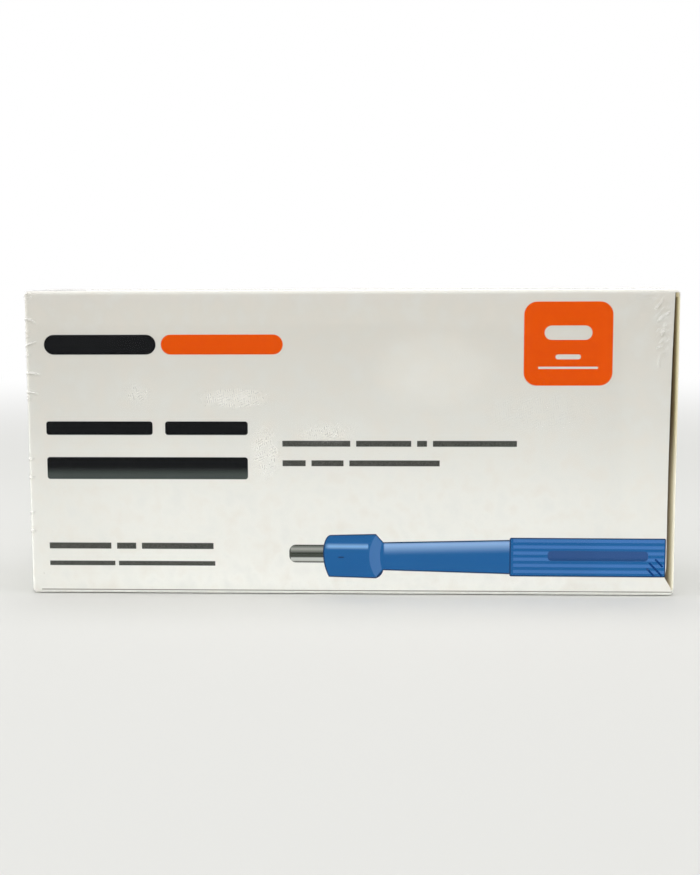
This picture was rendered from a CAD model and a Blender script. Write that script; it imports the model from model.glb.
import math
import random
import bpy
import bmesh
from mathutils import Matrix, Vector, noise


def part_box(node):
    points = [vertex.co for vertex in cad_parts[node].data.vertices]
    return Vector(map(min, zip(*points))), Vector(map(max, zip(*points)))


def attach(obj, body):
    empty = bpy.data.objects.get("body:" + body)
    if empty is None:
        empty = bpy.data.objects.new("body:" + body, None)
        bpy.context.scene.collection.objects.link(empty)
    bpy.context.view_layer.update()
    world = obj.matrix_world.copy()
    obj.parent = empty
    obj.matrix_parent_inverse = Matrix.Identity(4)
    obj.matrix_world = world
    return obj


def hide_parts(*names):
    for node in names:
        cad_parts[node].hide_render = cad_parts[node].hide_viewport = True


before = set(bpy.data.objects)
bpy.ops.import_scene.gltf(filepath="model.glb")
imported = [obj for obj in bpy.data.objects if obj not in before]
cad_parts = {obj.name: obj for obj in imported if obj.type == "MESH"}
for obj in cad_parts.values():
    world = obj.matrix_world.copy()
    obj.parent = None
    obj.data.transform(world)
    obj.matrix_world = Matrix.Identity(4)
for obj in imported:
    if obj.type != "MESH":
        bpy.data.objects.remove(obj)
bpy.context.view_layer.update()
mm = 0.001
print("frame loaded:", len(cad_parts), "solids")


# sRGB hex to the linear colour that Blender's sockets take
def linearColour(hexCode):
    shares = [int(hexCode[i:i + 2], 16) / 255 for i in (1, 3, 5)]
    return [s / 12.92 if s <= 0.04045 else ((s + 0.055) / 1.055) ** 2.4 for s in shares] + [1.0]


# Adds a node: an input takes a plain value, a hex colour, or a socket or node to link from
def addNode(tree, kind, inputs=None, stops=None, **settings):
    node = tree.nodes.new("ShaderNode" + kind)
    for name, value in settings.items():
        setattr(node, name, value)
    for key, value in (inputs or {}).items():
        if isinstance(value, bpy.types.Node):
            value = next(socket for socket in value.outputs if socket.enabled)
        if isinstance(value, bpy.types.NodeSocket):
            tree.links.new(value, node.inputs[key])
        else:
            node.inputs[key].default_value = linearColour(value) if isinstance(value, str) else value
    if stops:  # places and colours of a colour ramp
        elements = node.color_ramp.elements
        while len(elements) < len(stops):
            elements.new(0.5)
        for element, (place, hexCode) in zip(elements, stops):
            element.position = place
            element.color = linearColour(hexCode)
    return node


# A material with an empty tree, and its output node
def newMaterial(name):
    material = bpy.data.materials.new(name)
    material.use_nodes = True
    material.node_tree.nodes.clear()
    return material, material.node_tree, addNode(material.node_tree, "OutputMaterial")


# Places along X, Y and Z, in millimetres, of the point that is shaded
def placeSockets(tree):
    coordinates = addNode(tree, "TexCoord")
    inMillimetres = addNode(
        tree, "VectorMath", {0: coordinates.outputs["Object"], "Scale": 1 / mm}, operation="SCALE"
    )
    split = addNode(tree, "SeparateXYZ", {0: inMillimetres})
    return inMillimetres, split.outputs[0], split.outputs[1], split.outputs[2]


# 1 inside every limit given, 0 outside. Each limit is a value, the place where it starts to count and the
# place where it counts fully
def zone(tree, *limits):
    whole = None
    for value, start, full in limits:
        step = addNode(tree, "MapRange", {0: value, 1: start, 2: full}, interpolation_type="SMOOTHSTEP")
        whole = addNode(tree, "Math", {0: whole, 1: step}, operation="MULTIPLY") if whole else step
    return whole


# Paints one colour over another for each pair of a mask and a colour
def paintOver(tree, colour, *coats):
    for mask, tone in coats:
        colour = addNode(tree, "Mix", {0: mask, 6: colour, 7: tone}, data_type="RGBA")
    return colour


# Camera
camera = {
    "place": (17.2, -474.0, 105.05),   # mm
    "turn": 2.19,        # degrees to the left of straight ahead
    "tilt": -6.756,      # degrees below the horizon
    "roll": -0.2,
    "focalPixels": 1400,
    "imageHeight": 875,
    "sensor": 36.0,      # mm along the image's long side
}
cameraData = bpy.data.cameras.new("studioCamera")
cameraData.lens = camera["focalPixels"] * camera["sensor"] / camera["imageHeight"]
cameraData.sensor_width = camera["sensor"]
cameraData.clip_start = 0.01
cameraObject = bpy.data.objects.new("studioCamera", cameraData)
cameraObject.matrix_world = (
    Matrix.Translation([value * mm for value in camera["place"]])
    @ Matrix.Rotation(math.radians(camera["turn"]), 4, "Z")
    @ Matrix.Rotation(math.radians(90 + camera["tilt"]), 4, "X")
    @ Matrix.Rotation(math.radians(camera["roll"]), 4, "Z")
)
bpy.context.scene.collection.objects.link(cameraObject)
bpy.context.scene.camera = cameraObject
print("camera placed")


# Studio: pale floor that fades to white far off, white surroundings, a softbox above, fills round it
studio = {
    "floorColour": "#d2d2cf",
    "floorRadius": 9.0,         # m
    "floorSides": 96,
    "floorDrop": 0.02,          # mm, floor below the carton, so that the two don't coincide
    "fadeStart": 0.3,           # m from the object, where the floor turns into the white surroundings
    "fadeEnd": 1.0,
    "ambient": 0.45,            # strength of the white surroundings as a light
    # place, aim, size, power and cone of each softbox, the cone in degrees
    "softboxes": {
        "topSoftbox": ((0.0, 0.02, 1.05), (0.0, 0.0, 0.05), (0.9, 0.8), 6.4, 180),
        "leftFill": ((-0.95, -0.12, 0.35), (0.0, 0.0, 0.05), (0.5, 0.5), 4.4, 180),
        "rightFill": ((0.95, -0.12, 0.35), (0.0, 0.0, 0.05), (0.5, 0.5), 3.6, 180),
        "backFill": ((0.0, 1.1, 0.35), (0.0, 0.0, 0.05), (0.7, 0.4), 2.4, 180),
        "frontFill": ((0.0, -1.1, 0.35), (0.0, 0.0, 0.05), (0.9, 0.3), 2.7, 180),
        "lowFill": ((0.0, -0.45, 0.025), (0.0, 0.0, 0.0), (0.5, 0.045), 0.028, 26),
    },
    "unmirrored": ("lowFill",),  # softboxes that the film doesn't mirror
}
world = bpy.data.worlds.new("studioWhite")
world.use_nodes = True
worldTree = world.node_tree
worldTree.nodes.clear()


# 1 for rays that see the surroundings directly, in a mirror or through glass, 0 for the ones that light
def seenAtAll(tree):
    path = addNode(tree, "LightPath")
    seen = path.outputs["Is Camera Ray"]
    for other in ("Is Glossy Ray", "Is Transmission Ray"):
        seen = addNode(tree, "Math", {0: seen, 1: path.outputs[other]}, operation="MAXIMUM")
    return seen


worldStrength = addNode(
    worldTree, "MapRange", {0: seenAtAll(worldTree), "To Min": studio["ambient"], "To Max": 1.0}
)
background = addNode(worldTree, "Background", {"Color": "#ffffff", "Strength": worldStrength})
addNode(worldTree, "OutputWorld", {"Surface": background})
bpy.context.scene.world = world

for name, (place, aim, size, power, cone) in studio["softboxes"].items():
    lamp = bpy.data.lights.new(name, "AREA")
    lamp.shape = "RECTANGLE"
    lamp.size, lamp.size_y = size
    lamp.energy = power
    lamp.spread = math.radians(cone)
    lampObject = bpy.data.objects.new(name, lamp)
    lampObject.location = place
    lampObject.rotation_euler = (Vector(aim) - Vector(place)).to_track_quat("-Z", "Y").to_euler()
    lampObject.visible_camera = False
    lampObject.visible_glossy = name not in studio["unmirrored"]
    bpy.context.scene.collection.objects.link(lampObject)


# Painted studio floor: matt and even, so that only the shadow shows on it
def studioFloorPaint():
    material, tree, out = newMaterial("studioFloorPaint")
    place = addNode(tree, "TexCoord").outputs["Object"]
    distance = addNode(tree, "VectorMath", {0: place}, operation="LENGTH")
    far = zone(tree, (distance, studio["fadeStart"], studio["fadeEnd"]))
    share = addNode(tree, "Math", {0: far, 1: seenAtAll(tree)}, operation="MULTIPLY")
    paint = addNode(tree, "BsdfDiffuse", {"Color": studio["floorColour"]})
    white = addNode(tree, "Emission", {"Strength": 1.0})
    blend = addNode(tree, "MixShader", {0: share, 1: paint, 2: white})
    tree.links.new(blend.outputs[0], out.inputs["Surface"])
    return material


floorMesh = bpy.data.meshes.new("studioFloor")
floorShape = bmesh.new()
bmesh.ops.create_circle(
    floorShape, cap_ends=True, radius=studio["floorRadius"], segments=studio["floorSides"]
)
floorShape.to_mesh(floorMesh)
floorShape.free()
studioFloor = bpy.data.objects.new("studioFloor", floorMesh)
studioFloor.location.z = -studio["floorDrop"] * mm
studioFloor.data.materials.append(studioFloorPaint())
bpy.context.scene.collection.objects.link(studioFloor)
bpy.context.scene.view_settings.view_transform = "Standard"
print("studio lit")


# Board
cartonBox = [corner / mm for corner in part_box("carton")]
board = {
    # from the bottom up to the top
    "face": ((0.04, "#efefe9"), (0.14, "#e9e9e3"), (0.32, "#e7e7e1"), (0.58, "#dcdbd4"), (0.94, "#d8d5cc"),
             (0.98, "#d8d5cd"), (1.0, "#e0ded7")),
    "dimSides": "#c9c6be",       # the left and right of the front look a little dimmer than its middle
    "dimReach": (55.0, 106.0),   # mm from the middle, where that sets in and is at its most
    "dimShare": 0.22,
    "dimDepth": 0.3,             # mm behind the face, over which it fades in
    "warmSpot": "#dfd8cd",       # faint mottle of the fibres under the coating
    "coolSpot": "#dcdeda",
    "warmReach": (0.5, 0.75),    # values of the mottle between which each spot sets in
    "coolReach": (0.5, 0.28),
    "mottleShare": 0.35,
    "speck": "#8d8778",
    "speckSpacing": 17.0,        # mm
    "speckSize": 0.16,           # mm
    # tuck flap from the edge of the mouth out to the fold, near the bottom and higher up
    "lowFlap": ((0.08, "#75685a"), (0.3, "#8d7f62"), (0.55, "#c9c09f"), (0.8, "#e9e4cf"), (1.0, "#f1eee2")),
    "highFlap": ((0.1, "#4a3f34"), (0.38, "#57462c"), (0.55, "#7d6d49"), (0.72, "#c3b88d"), (1.0, "#e9e1c8")),
    "flapChange": (30.0, 62.0),  # mm, heights between which one gives way to the other
    "lip": ((0.46, "#4a3d30"), (0.5, "#b9ab82"), (0.75, "#d6cba6"), (1.0, "#eae4cf")),
    "lipZone": (96.6, 96.8),     # mm, heights between which the closure's own edge starts above the flap
    # where the flaps are painted, each limit from where it starts to count to where it counts fully
    "mouthCorner": (-2300.0, -2360.0),  # square mm, the place along X times the place along Y
    "mouthFoot": (1.8, 2.2),     # mm, heights
    "mouthHead": (98.2, 98.1),
    "mouthFace": 0.04,           # mm behind the face that the paint takes to fade in
    "mouthEdge": 102.2,          # mm from the middle
    "endFace": (0.1, 0.4),       # mm in from the outside of the end, which stays white
    "frontFace": (0.9, 0.5),     # mm in from the face, so that the flap's front is painted up to the end
    "seam": "#8a877d",           # shadow line under the cut edge of the front panel
    "seamZone": (0.95, 1.2, 1.55, 1.65),  # mm, heights where it sets in and ends
    "seamDepth": (0.3, 0.4, 0.5, 0.6),    # mm behind the face, the same
    "skinDepth": 0.08,           # mm, front of the board to just behind its coated face
    "mottleSize": 6.0,           # mm
    "fibreSize": 0.5,            # mm, real ones are finer
    "fibreRise": 0.03,
    "roughness": 0.5,
    "specular": 0.3,
}


# Folding boxboard, clay-coated: chalky white with a low satin sheen, a faint mottle, cream where it was cut
def coatedBoxboard():
    material, tree, out = newMaterial("coatedBoxboard")
    place, x, y, z = placeSockets(tree)
    height = addNode(tree, "MapRange", {0: z, 1: cartonBox[0].z, 2: cartonBox[1].z})
    face = addNode(tree, "ValToRGB", {0: height}, stops=board["face"])
    mottle = addNode(tree, "TexNoise", {"Vector": place, "Scale": 1 / board["mottleSize"], "Detail": 3.0})
    spots = []
    for start, full in (board["warmReach"], board["coolReach"]):
        spots.append(addNode(tree, "MapRange", {0: mottle, 1: start, 2: full, 4: board["mottleShare"]}))
    warm, cool = spots
    specks = addNode(
        tree, "TexVoronoi", {"Vector": place, "Scale": 1 / board["speckSpacing"], "Randomness": 1.0}
    )
    speckReach = board["speckSize"] / board["speckSpacing"]
    speck = zone(tree, (specks, speckReach, speckReach * 0.5))

    # Tuck flaps seen in the mouths, at the front right and the back left
    diagonal = addNode(tree, "Math", {0: x, 1: y}, operation="MULTIPLY")
    depth = addNode(tree, "Math", {0: y}, operation="ABSOLUTE")
    faceDepth = cartonBox[1].y - board["skinDepth"]
    outwards = addNode(tree, "Math", {0: x}, operation="ABSOLUTE")
    inMouth = zone(
        tree, (diagonal, *board["mouthCorner"]), (depth, faceDepth + board["mouthFace"], faceDepth),
        (z, *board["mouthFoot"]), (z, *board["mouthHead"]),
    )
    behindFold = zone(tree, (outwards, *[cartonBox[1].x - inset for inset in board["endFace"]]))
    beforeFold = zone(tree, (depth, *[cartonBox[1].y - inset for inset in board["frontFace"]]))
    offEnd = addNode(tree, "Math", {0: behindFold, 1: beforeFold}, operation="MAXIMUM")
    inMouth = addNode(tree, "Math", {0: inMouth, 1: offEnd}, operation="MULTIPLY")
    towardsEnd = addNode(tree, "MapRange", {0: outwards, 1: board["mouthEdge"], 2: cartonBox[1].x})
    lowFlap = addNode(tree, "ValToRGB", {0: towardsEnd}, stops=board["lowFlap"])
    highFlap = addNode(tree, "ValToRGB", {0: towardsEnd}, stops=board["highFlap"])
    lip = addNode(tree, "ValToRGB", {0: towardsEnd}, stops=board["lip"])
    onLip = zone(tree, (z, *board["lipZone"]))
    flap = paintOver(tree, lowFlap, (zone(tree, (z, *board["flapChange"])), highFlap), (onLip, lip))

    # Shadow under the front's cut edge
    low, lowFull, highFull, high = board["seamZone"]
    near, nearFull, farFull, far = [inset - cartonBox[1].y for inset in board["seamDepth"]]
    inSeam = zone(tree, (y, far, farFull), (y, near, nearFull), (z, low, lowFull), (z, high, highFull))

    sides = zone(
        tree, (outwards, *board["dimReach"]), (depth, cartonBox[1].y - board["dimDepth"], cartonBox[1].y)
    )
    sides = addNode(tree, "Math", {0: sides, 1: board["dimShare"]}, operation="MULTIPLY")
    colour = paintOver(
        tree, face, (sides, board["dimSides"]), (warm, board["warmSpot"]), (cool, board["coolSpot"]),
        (speck, board["speck"]), (inSeam, board["seam"]), (inMouth, flap),
    )
    fibre = addNode(tree, "TexNoise", {"Vector": place, "Scale": 1 / board["fibreSize"], "Detail": 4.0})
    grain = addNode(
        tree, "Bump", {"Height": fibre, "Strength": 0.12, "Distance": board["fibreRise"] * mm}
    )
    skin = addNode(
        tree, "BsdfPrincipled",
        {"Base Color": colour, "Roughness": board["roughness"], "IOR": 1.5,
         "Specular IOR Level": board["specular"], "Normal": grain},
    )
    tree.links.new(skin.outputs[0], out.inputs["Surface"])
    return material


# Inks
inks = {
    "grainSize": 0.7,            # mm, of the faint unevenness of the print
    "grainRise": 0.02,
    "thinSpots": (0.3, 0.7),     # shares of the grain between which dense ink turns to thin
    "roughness": 0.42,
    "specular": 0.03,            # low, because the varnish lies flat against the film
    # a denser and a thinner spot of each
    "black": ("#0f1012", "#151618"),
    "orange": ("#e24c00", "#ec5900"),
    "grey": ("#454642", "#53544f"),
    "faded": "#464d4a",          # lower part of the heading, where haze in the film greys it
    "fadedZone": (42.5, 39.0),   # mm, heights between which the haze sets in
}


# Offset ink under a thin varnish: dense and even, with a faint grain from the board and a satin sheen
def offsetInk(name, makeColour):
    material, tree, out = newMaterial(name)
    place, x, _, z = placeSockets(tree)
    grain = addNode(tree, "TexNoise", {"Vector": place, "Scale": 1 / inks["grainSize"], "Detail": 3.0})
    colour = makeColour(tree, x, z, grain)
    relief = addNode(tree, "Bump", {"Height": grain, "Strength": 0.1, "Distance": inks["grainRise"] * mm})
    skin = addNode(
        tree, "BsdfPrincipled",
        {"Base Color": colour, "Roughness": inks["roughness"], "IOR": 1.5,
         "Specular IOR Level": inks["specular"], "Normal": relief},
    )
    tree.links.new(skin.outputs[0], out.inputs["Surface"])
    return material


# A plain ink with its denser and thinner spots
def inkColour(tree, name, grain):
    dense, thin = inks[name]
    return paintOver(tree, dense, (zone(tree, (grain, *inks["thinSpots"])), thin))


def blackColour(tree, x, z, grain):
    haze = zone(tree, (z, *inks["fadedZone"]))
    return paintOver(tree, inkColour(tree, "black", grain), (haze, inks["faded"]))


def orangeColour(tree, x, z, grain):
    return inkColour(tree, "orange", grain)


def greyColour(tree, x, z, grain):
    return inkColour(tree, "grey", grain)


# Picture: a shaded picture of the instrument, printed a little askew
handleBox = [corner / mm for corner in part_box("picture_handle")]
bladeBox = [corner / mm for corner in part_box("picture_blade")]
picture = {
    "axis": 12.6,                # mm at the end of the grip, as are the next ones
    "tilt": 0.15,                # degrees, rising to the left
    "gripEnd": handleBox[1].x,
    "gripLength": 50.3,
    "gripHalf": 6.375,
    "collarFront": handleBox[0].x,
    "collarReach": 17.3,         # front of the collar to the cone
    "collarHalf": (6.95, 7.35),  # at its front and at the cone
    "noseRise": 1.0,             # height of the foremost point above the axis
    "noseDepth": 2.6,            # how far the upper corner stands back
    "chinRadius": 17.6,          # of the front's lower part
    "chinDepth": 8.0,            # from the nose to below its lower corner
    "coneLength": 2.4,
    "neckHalf": (4.65, 5.65),    # at the collar and at the grip
    "rim": 0.35,                 # width of the dark outline
    "soft": 0.1,                 # over which printed edges blur
    "overlap": 0.02,             # of the outlines where two stretches meet
    "gripLine": (0.5, 0.15),     # dark line at the start of the grip, its end and where it is full
    "gleamRise": 3.2,
    "gleamHalf": 1.3,
    "gleamStart": (0.2, 2.2),    # from the front of the collar
    "neckGleamStart": 0.5,       # over which the neck's gleam sets in
    "neckFade": (4.7, 0.2),      # below the neck's upper edge, where its gleam ends and where it is full
    "neckRise": (-0.3, 1.1),
    "neckGleam": "#94b7e0",
    "facetLength": 2.5,
    "scratch": (-3.0, 12.45, 0.9, 0.18),  # dark mark: place and half sizes
    "ground": "#235f99",
    "outline": "#21395a",
    "gleam": "#82aeda",
    "rib": "#4275b3",
    "facet": "#4573aa",
    "label": ("#24477a", "#315386"),      # shaded foot, face
    "labelShade": (-1.2, 0.4),   # heights above the axis between which the foot gives way to the face
    "dash": "#0a3873",
    "dashReach": 5.3,            # end of the grip back to the first dash
    "bladeBands": (
        (0.0, "#42443f"), (0.05, "#5a5c56"), (0.11, "#b9bcb5"), (0.25, "#bfc2bb"), (0.33, "#393e37"),
        (0.43, "#4a4f48"), (0.53, "#31362f"), (0.63, "#757a73"), (0.77, "#a1a29c"), (0.88, "#757a73"),
        (0.95, "#42443f"),
    ),
    "bladeRim": "#484a45",
    "bladeRimReach": (0.7, 0.2),  # from the blade's end
}
coneStart = picture["collarFront"] + picture["collarReach"]
neckStart = coneStart + picture["coneLength"]
gripStart = picture["gripEnd"] - picture["gripLength"]
facetStart = coneStart - picture["facetLength"]


# Height above the picture's axis, which rises to the left
def riseAbove(tree, x, z):
    slope = math.tan(math.radians(picture["tilt"]))
    level = addNode(tree, "Math", {0: x, 1: slope, 2: z}, operation="MULTIPLY_ADD")
    axis = picture["axis"] + picture["gripEnd"] * slope
    return addNode(tree, "Math", {0: level, 1: axis}, operation="SUBTRACT")


# Soft gleam along the collar
def collarGleam(tree, x, rise):
    near = addNode(tree, "Math", {0: rise, 1: picture["gleamRise"]}, operation="SUBTRACT")
    near = addNode(tree, "Math", {0: near}, operation="ABSOLUTE")
    return zone(
        tree, (near, picture["gleamHalf"], 0.0),
        (x, *[picture["collarFront"] + reach for reach in picture["gleamStart"]]),
        (x, facetStart + picture["soft"], facetStart - picture["soft"]),
    )


# Broad gleam below the upper edge of the neck
def neckGleam(tree, x, rise):
    narrow, wide = picture["neckHalf"]
    half = addNode(tree, "MapRange", {0: x, 1: neckStart, 2: gripStart, 3: narrow, 4: wide})
    below = addNode(tree, "Math", {0: half, 1: rise}, operation="SUBTRACT")
    return zone(
        tree, (below, *picture["neckFade"]), (below, *picture["neckRise"]),
        (x, neckStart, neckStart + picture["neckGleamStart"]), (x, gripStart, gripStart - picture["soft"]),
    )


# Collar, cone, neck and grip: blue plastic with a dark line round each
def handleColour(tree, x, z, grain):
    rise = riseAbove(tree, x, z)
    height = addNode(tree, "Math", {0: rise}, operation="ABSOLUTE")
    rim, soft, overlap = picture["rim"], picture["soft"], picture["overlap"]
    nose = picture["noseRise"]

    # front of the collar: an ellipse's quarter above the nose, an arc below it
    up = addNode(tree, "MapRange", {0: rise, 1: nose, 2: picture["collarHalf"][0]})
    upSquared = addNode(tree, "Math", {0: up, 1: up}, operation="MULTIPLY")
    rest = addNode(tree, "Math", {0: 1.0, 1: upSquared}, operation="SUBTRACT")
    rest = addNode(tree, "Math", {0: rest}, operation="SQRT")
    upper = addNode(tree, "MapRange", {0: rest, 1: 1.0, 2: 0.0, 4: picture["noseDepth"]})
    chin = picture["chinDepth"]
    down = addNode(tree, "MapRange", {0: rise, 1: nose, 2: nose - chin, 4: chin})
    downSquared = addNode(tree, "Math", {0: down, 1: down}, operation="MULTIPLY")
    front = addNode(
        tree, "Math", {0: downSquared, 1: 0.5 / picture["chinRadius"], 2: upper}, operation="MULTIPLY_ADD"
    )
    fromFront = addNode(tree, "Math", {0: x, 1: front}, operation="SUBTRACT")
    frontRim = zone(tree, (fromFront, picture["collarFront"] + 2 * rim, picture["collarFront"] + rim * 0.5))

    coats = [
        (collarGleam(tree, x, rise), picture["gleam"]), (neckGleam(tree, x, rise), picture["neckGleam"]),
        (frontRim, picture["outline"]),
    ]
    for start, end, halfStart, halfEnd in (
        (picture["collarFront"], coneStart, *picture["collarHalf"]),
        (coneStart, neckStart, picture["collarHalf"][1], picture["neckHalf"][0]),
        (neckStart, gripStart, *picture["neckHalf"]),
        (gripStart, picture["gripEnd"], picture["gripHalf"], picture["gripHalf"]),
    ):
        half = addNode(tree, "MapRange", {0: x, 1: start, 2: end, 3: halfStart, 4: halfEnd})
        inside = addNode(tree, "Math", {0: half, 1: height}, operation="SUBTRACT")
        edge = zone(
            tree, (inside, rim * 1.5, rim * 0.8),
            (x, start - overlap, start + overlap), (x, end + overlap, end - overlap),
        )
        coats.append((edge, picture["outline"]))

    # lines across, where the cone and the grip start and where the grip ends
    lineEnd, lineFull = picture["gripLine"]
    coneLine = zone(tree, (x, coneStart - rim, coneStart - soft), (x, coneStart + rim, coneStart + soft))
    gripLine = zone(tree, (x, gripStart + lineEnd, gripStart + lineFull), (x, gripStart - soft, gripStart))
    endLine = zone(tree, (x, picture["gripEnd"] - 1.5 * rim, picture["gripEnd"] - 0.5 * rim))
    coats += [(line, picture["outline"]) for line in (coneLine, gripLine, endLine)]

    # small dark mark on the collar
    markX, markZ, markHalfX, markHalfZ = picture["scratch"]
    left, right = markX - markHalfX, markX + markHalfX
    bottom, top = markZ - markHalfZ, markZ + markHalfZ
    mark = zone(
        tree, (x, left - soft, left), (x, right + soft, right),
        (z, bottom - soft, bottom), (z, top + soft, top),
    )
    coats.append((mark, picture["outline"]))
    return paintOver(tree, picture["ground"], *coats)


# Ribs of the grip, the facet behind the collar, and the gleams along the collar and the neck
def ribColour(tree, x, z, grain):
    rise = riseAbove(tree, x, z)
    soft = picture["soft"]
    return paintOver(
        tree, picture["ground"],
        (collarGleam(tree, x, rise), picture["gleam"]),
        (zone(tree, (x, facetStart - soft, facetStart)), picture["facet"]),
        (zone(tree, (x, neckStart + soft, neckStart + 2 * soft)), picture["ground"]),
        (neckGleam(tree, x, rise), picture["neckGleam"]),
        (zone(tree, (x, gripStart - soft, gripStart)), picture["rib"]),
    )


# Dark field along the grip, and the dashes at its end
def labelColour(tree, x, z, grain):
    rise = riseAbove(tree, x, z)
    foot, face = picture["label"]
    dashStart = picture["gripEnd"] - picture["dashReach"]
    return paintOver(
        tree, foot, (zone(tree, (rise, *picture["labelShade"])), face),
        (zone(tree, (x, dashStart - picture["soft"], dashStart)), picture["dash"]),
    )


# Steel tube, ground and polished, as bands of grey
def bladeColour(tree, x, z, grain):
    share = addNode(tree, "MapRange", {0: z, 1: bladeBox[0].z, 2: bladeBox[1].z})
    bands = addNode(tree, "ValToRGB", {0: share}, stops=picture["bladeBands"])
    end = zone(tree, (x, *[bladeBox[0].x + reach for reach in picture["bladeRimReach"]]))
    return paintOver(tree, bands, (end, picture["bladeRim"]))


def paintNodes(material, *names):
    for name in names:
        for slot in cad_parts[name].material_slots:
            slot.material = material


paintNodes(coatedBoxboard(), "carton")
paintNodes(offsetInk("blackOffsetInk", blackColour), "dark_name_field", "title_print")
paintNodes(offsetInk("orangeOffsetInk", orangeColour), "orange_name_field", "size_badge")
paintNodes(offsetInk("greyOffsetInk", greyColour), "note_print")
paintNodes(offsetInk("blueOffsetInk", handleColour), "picture_handle")
paintNodes(offsetInk("lightBlueOffsetInk", ribColour), "picture_ribs")
paintNodes(offsetInk("deepBlueOffsetInk", labelColour), "picture_label")
paintNodes(offsetInk("steelGreyOffsetInk", bladeColour), "picture_blade")
print("board and inks done")


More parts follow.
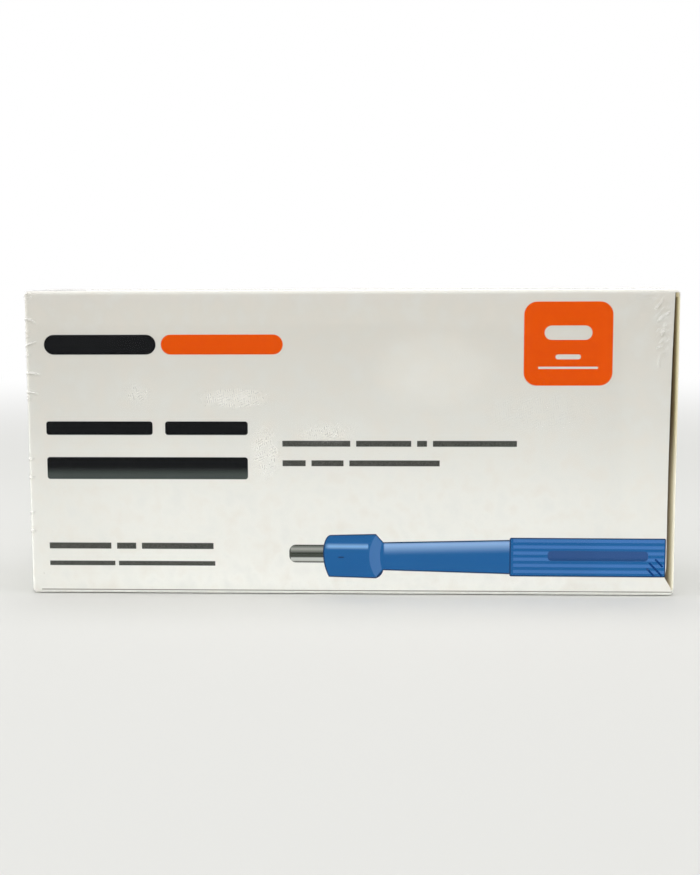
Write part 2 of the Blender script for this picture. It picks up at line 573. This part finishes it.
# Shrink film
film = {
    "outside": 0.13,        # mm, board to the film's outside where it lies flat
    "inside": 0.085,        # board to its inside
    "foldRise": 0.1,        # how far a fold stands out
    "edgeRadius": 0.85,     # outside, along the edges
    "endRadius": 1.6,       # the same where the top and the bottom turn into the ends
    # mesh spacing along X, Y and Z: fine beside edges that show folds
    "xLines": (6.0, 0.5, 3.5, 12.0, 0.4),
    "yLines": (3.0, 0.5, 2.2, 3.0, 0.5),
    "zStep": 0.4,
    # the same for the inner face, which shows no folds
    "innerXLines": (2.0, 0.25, 30.0, 2.0, 0.25),
    "innerYLines": (1.2, 0.2, 12.0, 1.2, 0.2),
    "innerZLines": (2.0, 0.25, 20.0, 2.0, 0.25),
    "seed": 11,
    "foldWidth": 0.36,      # half of a fold's crest
    "foldStart": -0.15,     # share of a fold's length before its thick end that still shows it
    "crestSides": (0.7, 0.8, 0.8),  # places of its bright and its dark side in those widths, and their spread
    "frontReach": (22.0, 16.0),     # from the left and the right end, where the front's folds are sought
    "edgeReach": 5.0,               # the same for the back's
    # folds on the edges that the front view doesn't show, from the seed
    "sideFolds": {"first": (3, 9), "reach": (1.2, 4.8), "slope": (-0.3, 0.3), "sag": (-0.3, 0.3),
                  "strength": (0.15, 0.9), "step": (2, 17), "margin": 3},
    "topFolds": {"reach": (1.2, 3.4), "slope": (-0.4, 0.4), "strength": (0.3, 0.8), "step": (6, 20),
                 "margin": 4},
    "outset": -0.1,         # place of a fold's thick end, just past the edge
    "turnedReach": 2.6,     # how far the front's folds go round on to the left end
    "turnedSlope": 0.3,     # how much of their slant they keep there
    "plainFoot": 1.0,       # height up to which the film lies plain
    # folds on the front: from x, z to x, z, sag of the middle, strength
    "frontFolds": (
        (-105.2, 90.2, -101.2, 88.3, 0.5, 0.8), (-105.2, 86.1, -103.0, 85.9, 0.0, 0.35),
        (-105.2, 84.5, -103.2, 84.4, 0.0, 0.3), (-105.2, 81.5, -100.8, 82.9, 0.1, 0.8),
        (-105.2, 78.4, -102.6, 78.3, 0.0, 0.35), (-105.2, 72.7, -100.0, 72.0, 0.15, 1.0),
        (-105.2, 66.5, -101.0, 65.6, 0.2, 1.0), (-105.2, 65.3, -102.6, 64.9, 0.0, 0.45),
        (-105.2, 64.2, -103.0, 64.0, 0.0, 0.35), (-105.2, 44.5, -102.8, 44.5, 0.0, 0.4),
        (-105.2, 38.4, -102.6, 38.5, 0.0, 0.4), (-105.2, 26.8, -103.0, 26.9, 0.0, 0.35),
        (-105.2, 20.8, -102.8, 20.6, 0.0, 0.4), (-84.5, 98.6, -84.4, 96.2, 0.0, 0.3),
        (91.5, 97.7, 99.5, 97.2, 0.0, 0.25), (92.0, 96.3, 99.0, 96.0, 0.2, 0.2),
        (97.6, 93.3, 99.7, 95.8, 0.0, 0.5), (98.3, 89.2, 100.2, 90.7, 0.0, 0.5),
        (99.3, 84.7, 100.9, 86.9, 0.1, 0.5), (97.9, 80.6, 100.1, 81.2, 0.0, 0.35),
        (98.6, 74.9, 99.2, 79.0, 0.2, 0.3), (100.9, 91.2, 102.0, 92.3, 0.0, 0.6),
    ),
    # crumpled patches on the front: middle x, z, half width, half height, size of its creases, strength
    "crumples": ((-104.0, 97.6, 2.2, 2.4, 0.8, 0.5), (99.4, 87.0, 2.9, 11.5, 0.9, 0.24),
                 (95.5, 96.6, 5.5, 2.2, 1.3, 0.12)),
    "creaseContrast": 2.2,
    "creaseLean": (0.8, 0.6),       # how far the creases lean, and how they stretch along the lean
    # how far the top left corner and the right end stand out, at which height, reach
    "pucker": (0.5, 98.6, 2.6),
    "bulge": (0.3, 93.0, 6.0),
    "jutReach": (2.5, 0.9, 9.0),    # in from the end, over which it sets in there, back from the front
    "jutWaves": (0.15, 0.9),        # share of it, and waves in a millimetre
    "slack": (0.012, 0.12),         # mm of unevenness all over, and waves in a millimetre
    "rippleSize": 14.0,             # mm
    "rippleHeight": 0.5,
    "roughness": 0.08,
    "ior": 1.15,            # below the real 1.5, because here it mirrors white all round
    "milk": "#fbfaf6",      # film laid double scatters some light
    "milkShare": 0.95,
    "shade": "#b3b1a9",     # lower side of a fold
    "shadeShare": 0.4,
    # faint scuffs: middle x, z, half length, half height, degrees, strength of the strokes and of the haze
    "scuffs": (
        (-37.6, 64.6, 15.0, 4.0, -11.0, 0.6, 0.1),
        (-27.4, 47.0, 6.5, 11.0, 0.0, 0.36, 0.05),
        (-69.0, 65.8, 6.0, 4.5, 0.0, 0.32, 0.05),
        (-8.0, 53.5, 13.0, 5.0, 0.0, 0.25, 0.04),
        (60.0, 60.0, 22.0, 9.0, 10.0, 0.12, 0.0),
        (27.0, 74.0, 26.0, 17.0, 0.0, 0.0, 0.2),
    ),
    "scuffStrokes": ((22.0, 0.85), (97.0, 0.7)),   # degrees from the horizontal, mm between strokes
    "strokeCrest": (0.3, 1.0),      # part of each wave that shows as a stroke
    "strokeWander": (0.3, 12.0),    # waves in a millimetre, and how far they bend the strokes
    "strokeBreaks": (0.5, 0.7),     # gaps in a millimetre along each set of strokes
    "strokeGaps": (0.45, 0.6),      # values between which a gap gives way to the stroke
    "scuffEdge": (1.0, 0.3),        # shares of a scuff's half size between which it sets in
    "scuffDepth": (-20.0, -24.0),   # along Y, so that scuffs stay on the front
}
filmLow = Vector([c - film["outside"] for c in cartonBox[0]])
filmLow.z = 0.0
filmHigh = Vector([c + film["outside"] for c in cartonBox[1]])


# Places of the mesh lines from one end to the other, fine beside each end
def meshLines(low, high, lowReach, lowStep, middleStep, highReach, highStep):
    lines = []
    place = low
    while place < high - highStep * 0.6:  # leaves no sliver before the last line
        lines.append(place)
        if place < low + lowReach:
            place += lowStep
        elif place > high - highReach:
            place += highStep
        else:
            place += middleStep
    return lines + [high]


# Closed box of mesh lines on its six sides, with the points that two sides share made once
def boxShell(xLines, yLines, zLines):
    shell = bmesh.new()
    points = {}

    def pointAt(x, y, z):
        key = (round(x, 5), round(y, 5), round(z, 5))
        if key not in points:
            points[key] = shell.verts.new((x, y, z))
        return points[key]

    def addSide(firstLines, secondLines, toPoint):
        for a, nextA in zip(firstLines, firstLines[1:]):
            for b, nextB in zip(secondLines, secondLines[1:]):
                corners = ((a, b), (nextA, b), (nextA, nextB), (a, nextB))
                shell.faces.new([pointAt(*toPoint(u, v)) for u, v in corners])

    addSide(xLines, zLines, lambda u, v: (u, yLines[0], v))
    addSide(zLines, xLines, lambda u, v: (v, yLines[-1], u))
    addSide(zLines, yLines, lambda u, v: (xLines[0], v, u))
    addSide(yLines, zLines, lambda u, v: (xLines[-1], u, v))
    addSide(yLines, xLines, lambda u, v: (v, u, zLines[0]))
    addSide(xLines, yLines, lambda u, v: (u, v, zLines[-1]))
    return shell


# A point of a sharp box moved onto the rounded one, and the direction out of it there
def roundedPoint(sharp, low, high, endRadius, edgeRadius):
    coreX = min(max(sharp.x, low.x + endRadius), high.x - endRadius)
    coreZ = min(max(sharp.z, low.z + endRadius), high.z - endRadius)
    across = Vector((sharp.x - coreX, 0, sharp.z - coreZ))
    reach = max(abs(across.x), abs(across.z))
    inset = endRadius - reach
    side = 1 if sharp.y > (low.y + high.y) / 2 else -1
    fromFace = min(sharp.y - low.y, high.y - sharp.y)
    a = max(edgeRadius - inset, 0.0)
    b = max(edgeRadius - fromFace, 0.0)
    if reach > 0:
        across.normalize()
    if a > 0:
        length = math.hypot(a, b)
        outA, outB = a / length, b / length
        reach = endRadius - edgeRadius + outA * edgeRadius
    elif b > 0:
        outA, outB = 0.0, 1.0
    else:
        outA, outB = 0.0, 0.0
    if b == 0:
        y = sharp.y
    elif side > 0:
        y = high.y - edgeRadius + outB * edgeRadius
    else:
        y = low.y + edgeRadius - outB * edgeRadius
    place = Vector((coreX, y, coreZ)) + across * reach
    return place, across * outA + Vector((0, side * outB, 0))


# How far a point lies along and across a fold, with its sag, as light, shade and rise of the film there
def foldAt(x, z, fold):
    startX, startZ, endX, endZ, sag, strength = fold
    length = math.hypot(endX - startX, endZ - startZ)
    alongX, alongZ = (endX - startX) / length, (endZ - startZ) / length
    share = ((x - startX) * alongX + (z - startZ) * alongZ) / length
    if not film["foldStart"] < share < 1.0:
        return 0.0, 0.0, 0.0
    across = (z - startZ) * alongX - (x - startX) * alongZ
    across = (across - sag * 4 * share * (1 - share)) / film["foldWidth"]
    fade = strength * (1 - max(share, 0.0) ** 2)
    brightSide, darkSide, spread = film["crestSides"]
    return (
        fade * math.exp(-((across - brightSide) / spread) ** 2),
        fade * math.exp(-((across + darkSide) / spread) ** 2),
        fade * math.exp(-across ** 2),
    )


# Folds on the edges that the front view doesn't show, each as distance in from the edge and place along it
def makeEdgeFolds(low, high):
    rng = random.Random(film["seed"])
    outset = film["outset"]
    edgeFolds = {}
    side = film["sideFolds"]
    for name in ("backLeft", "backRight"):
        folds = []
        height = rng.uniform(*side["first"])
        while height < high.z - side["margin"]:
            reach, slope = rng.uniform(*side["reach"]), rng.uniform(*side["slope"])
            sag, strength = rng.uniform(*side["sag"]), rng.uniform(*side["strength"])
            folds.append((outset, height, reach, height + reach * slope, sag, strength))
            height += rng.uniform(*side["step"])
        edgeFolds[name] = folds
    turned, slant = film["turnedReach"], film["turnedSlope"]
    edgeFolds["frontLeft"] = [
        (outset, startZ, turned, startZ + slant * (startZ - endZ), 0.0, strength)
        for startX, startZ, endX, endZ, sag, strength in film["frontFolds"] if startX < cartonBox[0].x
    ]
    edgeFolds["top"] = []
    top = film["topFolds"]
    place = low.x + top["margin"]
    while place < high.x - top["margin"]:
        reach, slope = rng.uniform(*top["reach"]), rng.uniform(*top["slope"])
        strength = rng.uniform(*top["strength"])
        edgeFolds["top"].append((outset, place, reach, place + reach * slope, 0.0, strength))
        place += rng.uniform(*top["step"])
    return edgeFolds


# Film's inner face, plain, wound the other way
def makeInside(low, high, gap):
    inner = boxShell(
        meshLines(low.x, high.x, *film["innerXLines"]), meshLines(low.y, high.y, *film["innerYLines"]),
        meshLines(low.z, high.z, *film["innerZLines"]),
    )
    for vertex in inner.verts:
        sharp = vertex.co.copy()
        place, _ = roundedPoint(sharp, low, high, film["endRadius"] - gap, film["edgeRadius"] - gap)
        vertex.co = place * mm
    bmesh.ops.reverse_faces(inner, faces=inner.faces)
    mesh = bpy.data.meshes.new("filmInside")
    inner.to_mesh(mesh)
    inner.free()
    return mesh


def makeFilm():
    low, high = filmLow, filmHigh
    shell = boxShell(
        meshLines(low.x, high.x, *film["xLines"]), meshLines(low.y, high.y, *film["yLines"]),
        meshLines(low.z, high.z, 0.0, film["zStep"], film["zStep"], 0.0, film["zStep"]),
    )
    light = shell.verts.layers.float.new("gathered")
    shade = shell.verts.layers.float.new("shaded")

    edgeFolds = makeEdgeFolds(low, high)
    edge, foot, reach = film["edgeRadius"], film["plainFoot"], film["edgeReach"]
    leftReach, rightReach = film["frontReach"]
    endReach, endFade, backReach = film["jutReach"]
    jutShare, jutWaves = film["jutWaves"]
    slackHeight, slackWaves = film["slack"]
    lean, stretch = film["creaseLean"]
    for vertex in shell.verts:
        sharp = vertex.co.copy()
        place, outward = roundedPoint(sharp, low, high, film["endRadius"], edge)
        fromFront, fromBack = sharp.y - low.y, high.y - sharp.y
        fromLeft, fromRight = sharp.x - low.x, high.x - sharp.x
        marks = []
        if fromFront < edge and (fromLeft < leftReach or fromRight < rightReach):
            marks += [foldAt(sharp.x, sharp.z, fold) for fold in film["frontFolds"]]
        if fromBack < edge and fromLeft < reach:
            marks += [foldAt(fromLeft, sharp.z, fold) for fold in edgeFolds["backLeft"]]
        if fromBack < edge and fromRight < reach:
            marks += [foldAt(fromRight, sharp.z, fold) for fold in edgeFolds["backRight"]]
        if fromLeft < edge and foot < sharp.z < high.z - foot:
            marks += [foldAt(fromFront, sharp.z, fold) for fold in edgeFolds["frontLeft"]]
            marks += [foldAt(fromBack, sharp.z, fold) for fold in edgeFolds["backLeft"]]
        if fromRight < edge and foot < sharp.z < high.z - foot:
            marks += [foldAt(fromBack, sharp.z, fold) for fold in edgeFolds["backRight"]]
        if sharp.z > high.z - edge:
            marks += [foldAt(fromBack, sharp.x, fold) for fold in edgeFolds["top"]]
        bright = min(sum(mark[0] for mark in marks), 1.0)
        dark = min(sum(mark[1] for mark in marks), 1.0)
        rise = min(sum(mark[2] for mark in marks), 1.0) * film["foldRise"]
        if fromFront < edge:
            for middleX, middleZ, halfX, halfZ, size, strength in film["crumples"]:
                distance = math.hypot((sharp.x - middleX) / halfX, (sharp.z - middleZ) / halfZ)
                if distance < 1:
                    leaning = Vector((sharp.x - lean * sharp.z, 0, stretch * sharp.z))
                    creases = noise.noise(leaning / size)
                    creases *= film["creaseContrast"] * strength * (1 - distance ** 3)
                    bright = min(bright + max(creases, 0.0), 1.0)
                    dark = min(dark + max(-creases, 0.0), 1.0)
        jut = 0.0
        for (most, height, spread), distance in ((film["pucker"], fromLeft), (film["bulge"], fromRight)):
            if distance < endReach:
                jut = most * math.exp(-((sharp.z - height) / spread) ** 2 - (fromFront / backReach) ** 2)
                jut *= 1 - jutShare + jutShare * noise.noise(sharp * jutWaves)
                jut *= min(1.0, (endReach - distance) / endFade)
        if sharp.z < foot:
            rise = 0.0
            jut = 0.0
        slack = slackHeight * noise.noise(sharp * slackWaves)
        vertex[light] = bright
        vertex[shade] = dark
        place += outward * (rise + slack) + Vector((outward.x, 0, outward.z)) * jut
        vertex.co = place * mm
        vertex.co.z = max(vertex.co.z, 0.0)

    gap = film["outside"] - film["inside"]
    inset = Vector((gap, gap, gap))
    innerMesh = makeInside(low + inset, high - inset, gap)
    shell.from_mesh(innerMesh)
    for face in shell.faces:
        face.smooth = True
    mesh = bpy.data.meshes.new("wrap_film")
    shell.to_mesh(mesh)
    shell.free()
    bpy.data.meshes.remove(innerMesh)
    return bpy.data.objects.new("wrap_film", mesh)


# 1 on the side of a surface that faces out, 0 behind it
def outerSide(tree):
    behind = addNode(tree, "NewGeometry").outputs["Backfacing"]
    return addNode(tree, "Math", {0: 1.0, 1: behind}, operation="SUBTRACT")


# Polyolefin shrink film: clear and glossy, milky only where it is gathered or scuffed, with a soft ripple
def clearShrinkFilm():
    material, tree, out = newMaterial("clearShrinkFilm")
    place, x, y, z = placeSockets(tree)
    ripple = addNode(
        tree, "TexNoise",
        {"Vector": place, "Scale": 1 / film["rippleSize"], "Detail": 2.0, "Distortion": 0.6},
    )
    waves = addNode(
        tree, "Bump", {"Height": ripple, "Strength": 0.25, "Distance": film["rippleHeight"] * mm}
    )
    gathered = addNode(tree, "Attribute", attribute_name="gathered").outputs["Fac"]
    shaded = addNode(tree, "Attribute", attribute_name="shaded").outputs["Fac"]
    outside = outerSide(tree)

    # scuffs: fine strokes that cross, broken up, in soft patches on the front
    strokes = None
    weaveScale, weaveReach = film["strokeWander"]
    weave = addNode(tree, "TexNoise", {"Vector": place, "Scale": weaveScale, "Detail": 2.0})
    wander = addNode(tree, "MapRange", {0: weave, 4: weaveReach})
    for (angle, spacing), breakScale in zip(film["scuffStrokes"], film["strokeBreaks"]):
        slope = math.radians(angle)
        turns = 2 * math.pi / spacing
        across, up = -math.sin(slope) * turns, math.cos(slope) * turns
        phase = addNode(tree, "Math", {0: x, 1: across, 2: wander}, operation="MULTIPLY_ADD")
        phase = addNode(tree, "Math", {0: z, 1: up, 2: phase}, operation="MULTIPLY_ADD")
        wave = addNode(tree, "Math", {0: phase}, operation="SINE")
        breaks = addNode(tree, "TexNoise", {"Vector": place, "Scale": breakScale, "Detail": 3.0})
        stroke = zone(tree, (wave, *film["strokeCrest"]), (breaks, *film["strokeGaps"]))
        strokes = addNode(tree, "Math", {0: strokes, 1: stroke}, operation="MAXIMUM") if strokes else stroke
    milk = addNode(tree, "Math", {0: gathered, 1: film["milkShare"]}, operation="MULTIPLY")
    for middleX, middleZ, halfLength, halfHeight, slant, strength, cloud in film["scuffs"]:
        fromMiddle = addNode(tree, "Mapping", {"Vector": place, "Location": (-middleX, 0, -middleZ)})
        turned = addNode(
            tree, "Mapping",
            {"Vector": fromMiddle, "Rotation": (0, math.radians(slant), 0),
             "Scale": (1 / halfLength, 0, 1 / halfHeight)},
        )
        distance = addNode(tree, "VectorMath", {0: turned}, operation="LENGTH")
        patch = zone(tree, (distance, *film["scuffEdge"]), (y, *film["scuffDepth"]))
        share = addNode(tree, "Math", {0: strokes, 1: strength, 2: cloud}, operation="MULTIPLY_ADD")
        milk = addNode(
            tree, "Math", {0: share, 1: patch, 2: milk}, operation="MULTIPLY_ADD", use_clamp=True
        )

    tint = addNode(tree, "Math", {0: shaded, 1: film["shadeShare"]}, operation="MULTIPLY")
    clear = addNode(tree, "BsdfTransparent", {"Color": paintOver(tree, "#ffffff", (tint, film["shade"]))})
    haze = addNode(tree, "BsdfDiffuse", {"Color": film["milk"]})

    # light passes the milky spots almost whole
    passing = addNode(tree, "LightPath").outputs["Is Shadow Ray"]
    stopped = addNode(tree, "Math", {0: outside, 1: passing}, operation="SUBTRACT", use_clamp=True)
    milkShare = addNode(tree, "Math", {0: milk, 1: stopped}, operation="MULTIPLY")
    body = addNode(tree, "MixShader", {0: milkShare, 1: clear, 2: haze})
    gloss = addNode(tree, "BsdfGlossy", {"Roughness": film["roughness"], "Normal": waves})
    fresnel = addNode(tree, "Fresnel", {"IOR": film["ior"], "Normal": waves})
    shine = addNode(tree, "Math", {0: fresnel, 1: outside}, operation="MULTIPLY")
    skin = addNode(tree, "MixShader", {0: shine, 1: body, 2: gloss})
    tree.links.new(skin.outputs[0], out.inputs["Surface"])
    return material


# Weld of the film: a low, slightly wavy ridge up both ends and over the top
weld = {
    "start": 3.0,            # mm, height at which it starts on each end
    "width": 0.5,
    "height": (0.28, 0.47),  # at the left end and at the right one
    "step": 0.9,             # mesh spacing along it
    "bendSteps": 6,          # pieces of the bend at each upper corner
    # shares of its width and height across it, None where it meets the film
    "section": ((-0.5, None), (-0.25, 0.7), (0.0, 1.0), (0.25, 0.7), (0.5, None)),
    "sunk": 0.02,            # mm of its feet in the film
    "endShare": 0.3,         # height left at its two ends
    "swell": (0.12, 0.15),   # share of the height, and waves in a millimetre
    "wander": (0.12, 0.05),  # mm to either side, and waves in a millimetre
    "beadSize": 1.5,         # mm
    "beadHeight": 0.1,
    "milk": (0.35, 0.65),    # least and most share of milky film
    "roughness": 0.15,
    "ior": 1.25,
    "seed": 5,
}


# Places along the weld from the foot of the left end to that of the right one, and the direction out at each
def weldPath(low, high):
    radius = film["endRadius"]
    bend = Vector((low.x + radius, 0, high.z - radius))
    path = []
    rows = math.ceil((bend.z - weld["start"]) / weld["step"])
    for row in range(rows + 1):
        height = weld["start"] + (bend.z - weld["start"]) * row / rows
        path.append((Vector((low.x, 0, height)), Vector((-1, 0, 0))))
    for step in range(1, weld["bendSteps"] + 1):
        turn = math.pi / 2 * step / weld["bendSteps"]
        outward = Vector((-math.cos(turn), 0, math.sin(turn)))
        path.append((bend + outward * radius, outward))
    halfTop = (high.x - low.x) / 2 - radius
    columns = math.ceil(halfTop / weld["step"])
    for column in range(1, columns + 1):
        path.append((Vector((bend.x - bend.x * column / columns, 0, high.z)), Vector((0, 0, 1))))
    return path + [(Vector((-p.x, 0, p.z)), Vector((-o.x, 0, o.z))) for p, o in reversed(path[:-1])]


def makeWeld(material):
    low, high = filmLow, filmHigh
    path = weldPath(low, high)
    shape = bmesh.new()
    leftHeight, rightHeight = weld["height"]
    swellShare, swellWaves = weld["swell"]
    wanderReach, wanderWaves = weld["wander"]
    sections = []
    for index, (place, outward) in enumerate(path):
        share = (place.x - low.x) / (high.x - low.x)
        height = leftHeight + (rightHeight - leftHeight) * share
        height *= 1 + swellShare * noise.noise(place * swellWaves + Vector((weld["seed"], 0, 0)))
        height = min(height, rightHeight)
        if index in (0, len(path) - 1):
            height *= weld["endShare"]
        wander = wanderReach * noise.noise(place * wanderWaves + Vector((0, weld["seed"], 0)))
        section = []
        for across, level in weld["section"]:
            rise = -weld["sunk"] if level is None else height * level
            point = place + outward * rise + Vector((0, across * weld["width"] + wander, 0))
            section.append(shape.verts.new(point * mm))
        sections.append(section)
    for first, second in zip(sections, sections[1:]):
        for k, current in enumerate(first):
            after = (k + 1) % len(first)
            shape.faces.new((current, second[k], second[after], first[after]))
    shape.faces.new(sections[0])
    shape.faces.new(list(reversed(sections[-1])))
    bmesh.ops.recalc_face_normals(shape, faces=shape.faces)
    for face in shape.faces:
        face.smooth = len(face.verts) == 4
    mesh = bpy.data.meshes.new("film_weld")
    shape.to_mesh(mesh)
    shape.free()
    ridge = bpy.data.objects.new("film_weld", mesh)
    ridge.data.materials.append(material)
    return ridge


# The same film melted together: thicker, so a little milky and rounded by the hot wire
def weldedFilm():
    material, tree, out = newMaterial("weldedFilm")
    place = placeSockets(tree)[0]
    beads = addNode(tree, "TexNoise", {"Vector": place, "Scale": 1 / weld["beadSize"], "Detail": 2.0})
    relief = addNode(tree, "Bump", {"Height": beads, "Strength": 0.4, "Distance": weld["beadHeight"] * mm})
    clear = addNode(tree, "BsdfTransparent")
    haze = addNode(tree, "BsdfDiffuse", {"Color": film["milk"], "Normal": relief})
    gloss = addNode(tree, "BsdfGlossy", {"Roughness": weld["roughness"], "Normal": relief})
    outside = outerSide(tree)
    least, most = weld["milk"]
    cloud = addNode(tree, "MapRange", {0: beads, 3: least, 4: most})
    milkShare = addNode(tree, "Math", {0: cloud, 1: outside}, operation="MULTIPLY")
    body = addNode(tree, "MixShader", {0: milkShare, 1: clear, 2: haze})
    fresnel = addNode(tree, "Fresnel", {"IOR": weld["ior"], "Normal": relief})
    shine = addNode(tree, "Math", {0: fresnel, 1: outside}, operation="MULTIPLY")
    skin = addNode(tree, "MixShader", {0: shine, 1: body, 2: gloss})
    tree.links.new(skin.outputs[0], out.inputs["Surface"])
    return material


wrapFilm = makeFilm()
wrapFilm.data.materials.append(clearShrinkFilm())
filmWeld = makeWeld(weldedFilm())
for piece in (wrapFilm, filmWeld):
    bpy.context.scene.collection.objects.link(piece)
    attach(piece, "root")
    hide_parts("shrink_film")
print("film drawn over:", len(wrapFilm.data.polygons), "faces, weld", len(filmWeld.data.polygons))
